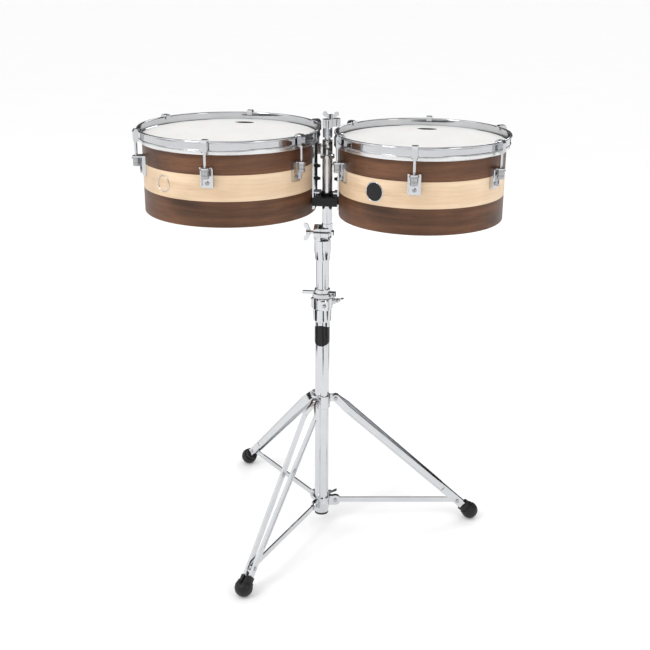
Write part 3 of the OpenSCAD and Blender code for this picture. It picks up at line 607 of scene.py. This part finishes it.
class TIMBALES_OT_hoops(bpy.types.Operator):
    """Flesh hoops and chromed counterhoops with a rolled rim"""

    bl_idname = "timbales.hoops"
    bl_label = "Hoops"

    def execute(self, context):
        for side in SIDES:
            drum = Drum(side)
            self.add_flesh_hoop(drum)
            self.add_counterhoop(drum)
        return {"FINISHED"}

    def add_flesh_hoop(self, drum):
        r = drum.radius
        low, high = drum.flesh
        out = r + drum.flesh_reach
        bend, inside, slope = 2.2 * MM, r + 0.9 * MM, 0.4 * MM
        outline = [
            (inside, low + slope), (inside + slope, low),
            *arc(out - bend, low + bend, bend, -90, 0, 5),
            *arc(out - bend, high - bend, bend, 0, 90, 5),
            (inside + slope, high), (inside, high - slope),
        ]
        node = f"{drum.side}_flesh_hoop"
        shape = lathe(outline, drum.foot, sizes().lathe_steps)
        add_piece(f"{drum.side}_flesh_ring", shape, ["aluminium"], node, (node,), sharp=50)

    def add_counterhoop(self, drum):
        r = drum.radius
        low, high = drum.hoop
        rim, lip_in = 2.6 * MM, r + 2.1 * MM
        rim_x, rim_z = r + drum.hoop_reach - rim, high - rim
        wall_in, wall_out = r + 6 * MM, r + 8.2 * MM
        outline = [
            (lip_in, low), (r + 8.6 * MM, low),
            *arc(r + 8.4 * MM, low + 0.8 * MM, 0.8 * MM, -90, 60, 5),
            (wall_out, low + 2.2 * MM), (wall_out, rim_z - 3.0 * MM),
            *arc(rim_x, rim_z, rim, -75, 180, 16),
            (wall_in, rim_z - 1 * MM), (wall_in, low + 3.4 * MM), (r + 5.2 * MM, low + 2.5 * MM),
            (lip_in, low + 2.3 * MM),
        ]
        node = f"{drum.side}_counterhoop"
        shape = lathe(outline, drum.foot, sizes().lathe_steps)
        add_piece(f"{drum.side}_counterhoop_rim", shape, ["chrome"], node, (node,), sharp=38)


class TIMBALES_OT_tension(bpy.types.Operator):
    """Claws, threaded tension rods, channel lugs and their nuts"""

    bl_idname = "timbales.tension"
    bl_label = "Claws, rods and lugs"

    def execute(self, context):
        for side in SIDES:
            drum = Drum(side)
            dress([f"{side}_claws"], 1.3 * MM, 3)
            dress([f"{side}_lugs"], 0.6 * MM)
            self.add_rods(drum)
            self.add_nuts(drum)
        return {"FINISHED"}

    def rod_circle(self, drum):
        """Radius of the rods' circle and of a rod, and a rod's lowest and highest point."""
        low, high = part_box(f"{drum.side}_tension_rods")
        rod = 3.2 * MM
        return (high[1] - low[1]) / 2 - rod, rod, low[2] - drum.foot.z, high[2] - drum.foot.z

    def add_rods(self, drum):
        circle, rod, low, high = self.rod_circle(drum)
        pitch = sizes().thread_pitch
        root, threaded = rod - 0.5 * MM, 27 * MM
        turns = int(threaded / pitch)

        def rod_shape():
            outline = [(0, low), (rod - 0.9 * MM, low)]
            for turn in range(turns):
                z = low + 0.5 * MM + turn * pitch
                outline += [(root, z), (rod, z + pitch / 2)]
            outline += [(rod - 0.2 * MM, low + threaded + pitch), (rod, low + threaded + 3 * pitch),
                        (rod, high), (0, high)]
            return lathe(outline, (circle, 0, 0), 20, closed=False)

        shape = ring_of(rod_shape, drum.foot, LUGS, FIRST_LUG)
        node = f"{drum.side}_tension_rods"
        add_piece(f"{drum.side}_rod_set", shape, ["chrome"], node, (node,), sharp=60)

    def add_nuts(self, drum):
        circle, rod, _, _ = self.rod_circle(drum)
        low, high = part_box(f"{drum.side}_lug_nuts")
        top = high[2] - drum.foot.z
        nut, flange, tall, lip = 7.85 * MM, 10 * MM, 19 * MM, 3 * MM
        waist, bore, foot = nut - 0.7 * MM, rod + 0.1 * MM, top - tall
        lug_face, screw_rise = drum.radius + 3 * MM, 4.6 * MM

        def nut_shape():
            outline = [
                (bore, foot + 0.5 * MM), (bore + 0.5 * MM, foot), (nut - 1 * MM, foot),
                (nut, foot + 1 * MM), (nut, foot + 6.2 * MM), (waist, foot + 6.8 * MM),
                (waist, foot + 8 * MM), (nut, foot + 8.6 * MM), (nut, top - lip - 0.4 * MM),
                (flange - 0.8 * MM, top - lip), (flange, top - lip + 0.8 * MM),
                (flange, top - 0.5 * MM), (flange - 0.5 * MM, top), (bore, top),
            ]
            shape = lathe(outline, (circle, 0, 0), 40)
            screw = lathe([
                (0, 2.4 * MM), (1.2 * MM, 2.3 * MM), (1.3 * MM, 1.3 * MM), (2 * MM, 1.3 * MM),
                (2.1 * MM, 2.3 * MM), *arc(2.6 * MM, 0.4 * MM, 2 * MM, 80, 0, 5), (4.6 * MM, 0), (0, 0),
            ], steps=32, closed=False)
            turn = Matrix.Translation((lug_face, 0, low[2] - drum.foot.z + screw_rise))
            turn = turn @ Matrix.Rotation(math.radians(90), 4, "Y")
            bmesh.ops.transform(screw, matrix=turn, verts=screw.verts)
            return joined([shape, screw])

        shape = ring_of(nut_shape, drum.foot, LUGS, FIRST_LUG)
        node = f"{drum.side}_lug_nuts"
        add_piece(f"{drum.side}_nut_set", shape, ["plated"], node, (node,), sharp=40)


class TIMBALES_OT_badges(bpy.types.Operator):
    """A plain black badge with a bright rim, a plain ring, and the tube's plain badge"""

    bl_idname = "timbales.badges"
    bl_label = "Badges"

    def execute(self, context):
        self.add_badge(Drum("right"), math.radians(-118))
        self.add_ring(Drum("left"), math.radians(-123))
        dress(["tube_badge"], 0.3 * MM)
        return {"FINISHED"}

    def hang(self, shape, drum, facing):
        """Moves a shape drawn on the XY plane onto the shell, bent to its curve."""
        for vert in shape.verts:
            sag = drum.radius - math.sqrt(drum.radius ** 2 - vert.co.x ** 2)
            vert.co.z -= sag
        upright = Matrix(((0, 0, 1, 0), (1, 0, 0, 0), (0, 1, 0, 0), (0, 0, 0, 1)))
        height = sum(drum.band) / 2
        place = Matrix.Translation(drum.foot + Vector((0, 0, height)))
        place = place @ Matrix.Rotation(facing, 4, "Z") @ Matrix.Translation((drum.radius, 0, 0))
        bmesh.ops.transform(shape, matrix=place @ upright, verts=shape.verts)

    def add_badge(self, drum, facing):
        rim, thick, face, back = 21 * MM, 1.2 * MM, 0.8 * MM, 0.05 * MM
        inner = rim - 2.2 * MM
        plate = lathe([
            (0, face), (5 * MM, face), (10 * MM, face), (15 * MM, face),
            (inner, face), (inner, back), (10 * MM, back), (0, back),
        ], closed=False)
        self.hang(plate, drum, facing)
        add_piece("right_badge_plate", plate, ["enamel"], "drum_badges", ("drum_badges",))
        edge = lathe([
            (inner, back), (rim, back),
            *arc(rim - 1.1 * MM, 0.1 * MM, thick - 0.1 * MM, 0, 180, 8),
        ])
        self.hang(edge, drum, facing)
        add_piece("right_badge_rim", edge, ["chrome"], "drum_badges", ("drum_badges",))

    def add_ring(self, drum, facing):
        back = 0.02 * MM
        ring = lathe([*arc(17 * MM, 0.55 * MM, 1 * MM, 0, 180, 8), (16 * MM, back), (18 * MM, back)])
        self.hang(ring, drum, facing)
        add_piece("left_badge_ring", ring, ["chrome"], "drum_badges", ("drum_badges",))


class TIMBALES_OT_mounts(bpy.types.Operator):
    """The black bridge between the drums, their mounting plates and bolts"""

    bl_idname = "timbales.mounts"
    bl_label = "Bridge and mounts"

    def execute(self, context):
        dress(["bridge"], 1 * MM, 3)
        dress(["left_mount", "right_mount", "mount_bolts"], 0.6 * MM)
        return {"FINISHED"}


# ---------- stand ----------

class TIMBALES_OT_tubes(bpy.types.Operator):
    """Chromed tubes, the post and the accessory rod"""

    bl_idname = "timbales.tubes"
    bl_label = "Tubes"

    def execute(self, context):
        walls = {"base_tube": 1.5, "height_tube": 1.6, "upper_post": 2, "accessory_rod": 0}
        for node, wall in walls.items():
            low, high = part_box(node)
            radius = (high[0] - low[0]) / 2
            inner = radius - wall * MM if wall else 0
            soft = 0.4 * MM
            foot = Vector(((low[0] + high[0]) / 2, (low[1] + high[1]) / 2, 0))
            outline = [
                (inner, low[2]), (radius - soft, low[2]), (radius, low[2] + soft),
                (radius, high[2] - soft), (radius - soft, high[2]), (inner, high[2]),
            ]
            shape = lathe(outline, foot, closed=bool(wall))
            add_piece(f"{node}_plated", shape, ["chrome"], node, (node,), sharp=40)
        dress(["end_plug", "height_bushing"], 0.4 * MM)
        return {"FINISHED"}


class TIMBALES_OT_castings(bpy.types.Operator):
    """Clamps, collars, the tilter's halves and the post's head"""

    bl_idname = "timbales.castings"
    bl_label = "Castings"

    def execute(self, context):
        dress(["height_clamp", "memory_lock", "tilter_base", "tilter_head", "post_head", "rod_clamp",
               "leg_collar", "sliding_collar"])
        dress(["clamp_key_screw", "lock_key_screw", "leg_pivot_rivets", "brace_pivot_rivets",
               "brace_rivets_1", "brace_rivets_2", "brace_rivets_3"], 0.35 * MM)
        return {"FINISHED"}


class TIMBALES_OT_wings(bpy.types.Operator):
    """Wing bolts and wing screws with softly rounded blades"""

    bl_idname = "timbales.wings"
    bl_label = "Wing bolts"

    def execute(self, context):
        dress(["tilter_wing_bolt", "rod_wing_screw", "rod_clamp_wing_bolt", "height_wing_screw",
               "collar_wing_bolt"], sizes().wing_round, 3)
        return {"FINISHED"}


class TIMBALES_OT_tripod(bpy.types.Operator):
    """Legs, braces and rubber feet"""

    bl_idname = "timbales.tripod"
    bl_label = "Tripod"

    def execute(self, context):
        for number in (1, 2, 3):
            dress([f"leg_{number}", f"brace_{number}"], 0.7 * MM)
            # the slot in the foot's upper side lets the brace swing through
            dress([f"foot_{number}"], 0.6 * MM, 3)
        return {"FINISHED"}


# ---------- stage ----------

class TIMBALES_OT_stage(bpy.types.Operator):
    """Pale floor, dark cards for the chrome to mirror, soft lights and the camera"""

    bl_idname = "timbales.stage"
    bl_label = "Stage"

    def execute(self, context):
        context.scene.view_settings.view_transform = "Standard"
        self.add_floor()
        self.add_cards()
        self.add_lights()
        self.add_world()
        self.add_camera()
        return {"FINISHED"}

    def add_sheet(self, name, size, place, paint):
        """A flat upright or lying sheet of the stage."""
        shape = bmesh.new()
        bmesh.ops.create_grid(shape, x_segments=1, y_segments=1, size=0.5)
        bmesh.ops.scale(shape, vec=(*size, 1), verts=shape.verts)
        bmesh.ops.transform(shape, matrix=place, verts=shape.verts)
        mesh = bpy.data.meshes.new(name)
        shape.to_mesh(mesh)
        shape.free()
        mesh.materials.append(paint)
        sheet = bpy.data.objects.new(name, mesh)
        bpy.context.scene.collection.objects.link(sheet)
        return sheet

    def add_floor(self):
        paint = Finish("pale_floor")
        place = paint.coords("Object")
        paint.colour(paint.ramp(paint.noise(place, 2.5, 3), (0.3, grey(0.93)), (0.7, grey(0.94))))
        paint.set(Roughness=0.9, Specular_IOR_Level=0.1, Emission_Color=WHITE, Emission_Strength=0.05)
        self.add_sheet("floor", (80, 80), Matrix.Translation((0, 0, -0.0004)), paint.material)

    def add_cards(self):
        """Black cards that only mirror-like surfaces see, as a studio sets them for chrome."""
        paint = Finish("black_card")
        place = paint.coords("Object")
        paint.colour(paint.ramp(paint.noise(place, 6, 2), (0.3, grey(0.012)), (0.7, grey(0.02))))
        paint.set(Roughness=0.9, Specular_IOR_Level=0.0)
        upright = Matrix.Rotation(math.radians(90), 4, "X")
        skewed = Matrix.Rotation(math.radians(-9), 4, "Z")
        straight = Matrix.Identity(4)
        lift = 0.002
        cards = {
            "card_on_floor_front": ((0.30, 2.3), (0.34, -2.0, lift), skewed),
            "card_on_floor_back": ((2.6, 2.4), (-0.4, 2.3, lift), skewed),
            "card_on_floor_left": ((0.7, 1.0), (-1.5, -0.1, lift), straight),
            "card_on_floor_right": ((0.5, 1.2), (1.5, -0.5, lift), straight),
            "card_far_back": ((4.0, 1.2), (-0.6, 3.6, 0.6), upright),
        }
        for name, (size, place, turn) in cards.items():
            card = self.add_sheet(name, size, Matrix.Translation(place) @ turn, paint.material)
            card.visible_camera = card.visible_diffuse = card.visible_shadow = False

    def add_lights(self):
        width, height, target = 0.96, 1.6, Vector((0, 0, 0.8))
        softboxes = {
            "key": ((-2.2, -2.6, 3.2), 42),
            "fill": ((2.8, -2.4, 2.2), 12),
            "rim": ((1.0, 3.0, 2.6), 16),
        }
        for name, (place, power) in softboxes.items():
            light = bpy.data.lights.new(name, "AREA")
            light.shape = "RECTANGLE"
            light.size = width
            light.size_y = height
            light.energy = power
            lamp = bpy.data.objects.new(name, light)
            lamp.location = place
            aim = target - Vector(place)
            lamp.rotation_euler = aim.to_track_quat("-Z", "Y").to_euler()
            bpy.context.scene.collection.objects.link(lamp)

    def add_world(self):
        """White all round to the eye, and softboxes in a dim room to the chrome."""
        world = bpy.data.worlds.new("studio")
        bpy.context.scene.world = world
        world.use_nodes = True
        tree = world.node_tree
        add, link = tree.nodes.new, tree.links.new
        background = next(n for n in tree.nodes if n.type == "BACKGROUND")
        coords = add("ShaderNodeTexCoord")
        room, dim_room = None, 0.11
        # direction, cosine where a softbox starts and where it is full, brightness
        softboxes = (
            ((-0.30, -0.42, 0.86), 0.74, 0.80, 1.05),
            ((0.90, -0.38, 0.20), 0.84, 0.90, 0.75),
            ((-0.96, -0.10, 0.26), 0.86, 0.92, 0.85),
            ((0.25, 0.35, 0.90), 0.93, 0.96, 0.45),
        )
        for direction, outer, inner, level in softboxes:
            facing = add("ShaderNodeVectorMath")
            facing.operation = "DOT_PRODUCT"
            facing.inputs[1].default_value = Vector(direction).normalized()
            link(coords.outputs["Generated"], facing.inputs[0])
            panel = add("ShaderNodeMapRange")
            panel.inputs["From Min"].default_value = outer
            panel.inputs["From Max"].default_value = inner
            panel.inputs["To Max"].default_value = level
            link(facing.outputs["Value"], panel.inputs["Value"])
            total = add("ShaderNodeMath")
            total.operation = "ADD"
            link(panel.outputs["Result"], total.inputs[0])
            if room is None:
                total.inputs[1].default_value = dim_room
            else:
                link(room, total.inputs[1])
            room = total.outputs[0]
        rays = add("ShaderNodeLightPath")
        mix = add("ShaderNodeMix")
        mix.data_type = "RGBA"
        mix.inputs[6].default_value = WHITE
        link(rays.outputs["Is Glossy Ray"], mix.inputs["Factor"])
        link(room, mix.inputs[7])
        link(mix.outputs[2], background.inputs["Color"])
        background.inputs["Strength"].default_value = 1.0

    def add_camera(self):
        """At the front right, a little above the drums, looking down at them."""
        pitch, yaw, roll = math.radians(19.734), math.radians(-9.227), math.radians(0.282)
        ahead = Vector((math.sin(yaw) * math.cos(pitch), math.cos(yaw) * math.cos(pitch), -math.sin(pitch)))
        right = Vector((math.cos(yaw), -math.sin(yaw), 0))
        above = right.cross(ahead)
        tilted_right = math.cos(roll) * right + math.sin(roll) * above
        tilted_up = -math.sin(roll) * right + math.cos(roll) * above
        data = bpy.data.cameras.new("camera")
        data.lens = sizes().lens
        data.sensor_width = 36
        camera = bpy.data.objects.new("camera", data)
        tube = middle("base_tube")
        place = Vector((tube.x, tube.y, 0)) + Vector(CAMERA_OFFSET)
        turn = Matrix((tilted_right, tilted_up, -ahead)).transposed()
        camera.matrix_world = Matrix.Translation(place) @ turn.to_4x4()
        bpy.context.scene.collection.objects.link(camera)
        bpy.context.scene.camera = camera


# ---------- panel and registration ----------

OPERATORS = (
    TIMBALES_OT_shells, TIMBALES_OT_heads, TIMBALES_OT_hoops, TIMBALES_OT_tension,
    TIMBALES_OT_badges, TIMBALES_OT_mounts, TIMBALES_OT_tubes, TIMBALES_OT_castings,
    TIMBALES_OT_wings, TIMBALES_OT_tripod, TIMBALES_OT_stage,
)


class TIMBALES_PT_panel(bpy.types.Panel):
    """Lists the finishes, the sizes and every step"""

    bl_label = "Timbales"
    bl_idname = "TIMBALES_PT_panel"
    bl_space_type = "VIEW_3D"
    bl_region_type = "UI"
    bl_category = "Timbales"

    def draw(self, context):
        for group in (colours(), sizes()):
            box = self.layout.box()
            for name in group.__annotations__:
                box.prop(group, name)
        for operator in OPERATORS:
            self.layout.operator(operator.bl_idname)


CLASSES = (TimbalesColours, TimbalesSizes, *OPERATORS, TIMBALES_PT_panel)


def register():
    for item in CLASSES:
        bpy.utils.register_class(item)
    bpy.types.Scene.timbales_colours = PointerProperty(type=TimbalesColours)
    bpy.types.Scene.timbales_sizes = PointerProperty(type=TimbalesSizes)


def unregister():
    del bpy.types.Scene.timbales_sizes
    del bpy.types.Scene.timbales_colours
    for item in reversed(CLASSES):
        bpy.utils.unregister_class(item)


def main():
    """Builds the stage and every piece."""
    register()
    bpy.ops.timbales.stage()
    bpy.ops.timbales.shells()
    bpy.ops.timbales.heads()
    bpy.ops.timbales.hoops()
    bpy.ops.timbales.tension()
    bpy.ops.timbales.badges()
    bpy.ops.timbales.mounts()
    bpy.ops.timbales.tubes()
    bpy.ops.timbales.castings()
    bpy.ops.timbales.wings()
    bpy.ops.timbales.tripod()


if __name__ == "__main__":
    main()
